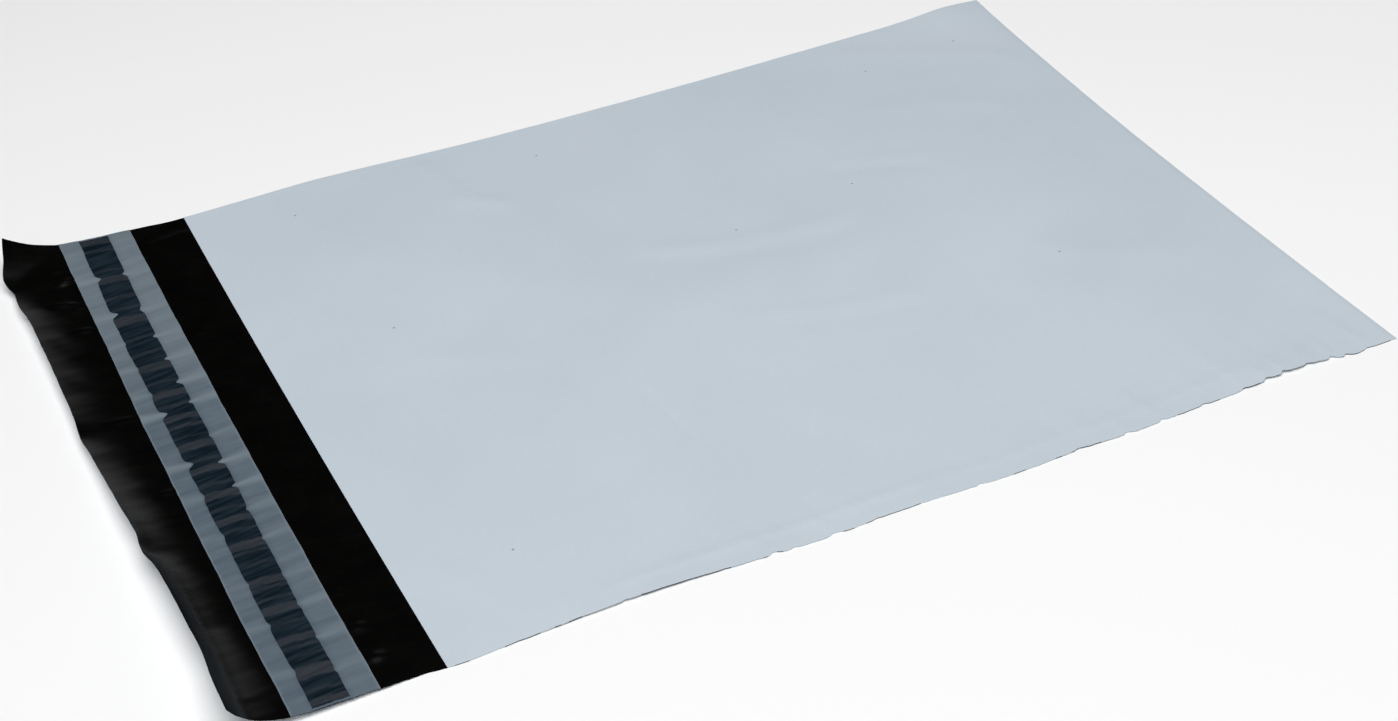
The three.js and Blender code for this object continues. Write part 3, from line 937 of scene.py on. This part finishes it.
def liner_wet():
    """The same film where it is wetted by the adhesive: dark, with paler bands where it let go."""
    n = Look("liner_wet")
    pale = n.attribute("pale")
    across_web = n.noise(1.0, 2.0, 0.55, vector=n.stretched(95.0, 860.0, 95.0, -9.0))
    stripes = n.remap(across_web, 0.36, 0.64, 0.0, 1.0)
    dark = n.mix(stripes, (0.0026, 0.0074, 0.0124), (0.0122, 0.0212, 0.0310))
    light = n.mix(stripes, (0.0195, 0.0250, 0.0330), (0.0300, 0.0350, 0.0435))
    colour = n.mix(pale, dark, light)
    roughness = n.remap(pale, 0.0, 1.0, 0.26, 0.38)
    normal = n.bump(across_web, 0.000030, 0.5)
    return n.finish(colour, roughness, normal, IOR=1.45)


def adhesive_look():
    """Pressed hot melt over black film: dark and glossy."""
    n = Look("adhesive")
    streaks = n.noise(1.0, 3.0, vector=n.stretched(120.0, 900.0, 120.0))
    colour = n.mix(streaks, (0.006, 0.011, 0.017), (0.018, 0.026, 0.036))
    return n.finish(colour, 0.22, n.bump(streaks, 0.00004, 0.6), IOR=1.5)


def floor_look():
    n = Look("floor")
    colour = n.mix(n.noise(3.0, 2.0), (0.88, 0.88, 0.88), (0.90, 0.90, 0.90))
    return n.finish(colour, 0.9, IOR=1.3)


# ---------------------------------------------------------------- pieces

film = make_film(outside_film(), inside_film())
liner = make_liner(liner_dry(), liner_wet())
adhesive = make_adhesive(adhesive_look())

for piece, node, slot, sharp_degrees in (
    (film, "mailer_film", "film", 50),
    (liner, "release_liner", "liner", 40),
    (adhesive, "adhesive_strip", "adhesive", 50),
):
    set_shading(piece, sharp_degrees)
    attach(piece, "root")
    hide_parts(node)

# ---------------------------------------------------------------- stage

FLOOR_SIZE = 6.0  # metres, as all that follows
FLOOR_DROP = 0.00002  # below the bag's underside
# The lamps: name, place, side of the square panel, watts.
LAMPS = (
    ("overhead", (-0.06, -0.26, 1.2), 1.2, 19.2),
    ("near_left", (-1.0, -1.1, 1.0), 0.7, 4.6),
)
# The soft patch of light in the room: the azimuth of its middle from +Y towards +X, its elevation,
# and how far from the middle it starts to fade and is gone, in degrees; then its strength.
PATCH_AZIMUTH, PATCH_ELEVATION, PATCH_FULL, PATCH_GONE = (math.radians(a) for a in (27, 11, 5, 15))
PATCH_STRENGTH = 0.38


def direction_vector(azimuth, elevation):
    """A unit vector, by azimuth from +Y towards +X and elevation."""
    level = math.cos(elevation)
    return Vector((math.sin(azimuth) * level, math.cos(azimuth) * level, math.sin(elevation)))


def make_floor():
    half = FLOOR_SIZE / 2
    corners = [(-half, -half, 0), (half, -half, 0), (half, half, 0), (-half, half, 0)]
    mesh = bpy.data.meshes.new("floor")
    mesh.from_pydata(corners, [], [(0, 1, 2, 3)])
    mesh.materials.append(floor_look())
    floor = bpy.data.objects.new("floor", mesh)
    floor.location.z = -FLOOR_DROP
    bpy.context.scene.collection.objects.link(floor)
    return floor


def make_lamp(name, place, side, watts):
    """A square panel of light that faces the bag."""
    light = bpy.data.lights.new(name, "AREA")
    light.shape = "RECTANGLE"
    light.size = side
    light.size_y = side
    light.energy = watts
    lamp = bpy.data.objects.new(name, light)
    lamp.location = place
    lamp.rotation_euler = (-Vector(place)).to_track_quat("-Z", "Y").to_euler()
    bpy.context.scene.collection.objects.link(lamp)


def make_world():
    """A dim room with one soft patch of light, low beyond the bag's far side."""
    world = bpy.data.worlds.new("room")
    bpy.context.scene.world = world
    world.use_nodes = True
    n = Nodes(world.node_tree, "Generated")
    split = n.new("ShaderNodeSeparateXYZ", Vector=n.place)
    horizon = n.remap(split.outputs["Z"], 0.0, 0.4, 0.06, 0.004, smooth=True)
    toward = n.tree.nodes.new("ShaderNodeVectorMath")
    toward.operation = "DOT_PRODUCT"
    n.link(n.place, toward.inputs[0])
    toward.inputs[1].default_value = direction_vector(PATCH_AZIMUTH, PATCH_ELEVATION)
    gone, full = math.cos(PATCH_GONE), math.cos(PATCH_FULL)
    patch = n.remap(toward.outputs["Value"], gone, full, 0.0, PATCH_STRENGTH, smooth=True)
    background = n.tree.nodes["Background"]
    n.link(n.math("ADD", horizon, patch), background.inputs["Strength"])
    background.inputs["Color"].default_value = (1, 1, 1, 1)


def make_camera():
    """The view from the near left, looking down on the bag."""
    azimuth, elevation, roll = (math.radians(a) for a in (-24.24, 36.36, -2.57))
    target = Vector((-5.0, -26.1, 0.0)) * MM
    distance = 610.0 * MM
    back = direction_vector(math.pi - azimuth, elevation)
    right = Vector((0, 0, 1)).cross(back).normalized()
    up = back.cross(right)
    turned_right = right * math.cos(roll) + up * math.sin(roll)
    turned_up = -right * math.sin(roll) + up * math.cos(roll)
    data = bpy.data.cameras.new("camera")
    data.lens = 63.49
    data.sensor_width = 36.0
    data.clip_start = 0.01
    data.clip_end = 50.0
    camera = bpy.data.objects.new("camera", data)
    pose = Matrix((turned_right, turned_up, back)).transposed().to_4x4()
    pose.translation = target + back * distance
    camera.matrix_world = pose
    bpy.context.scene.collection.objects.link(camera)
    bpy.context.scene.camera = camera


floor = make_floor()
make_world()
for lamp in LAMPS:
    make_lamp(*lamp)
make_camera()
bpy.context.scene.view_settings.view_transform = "Standard"
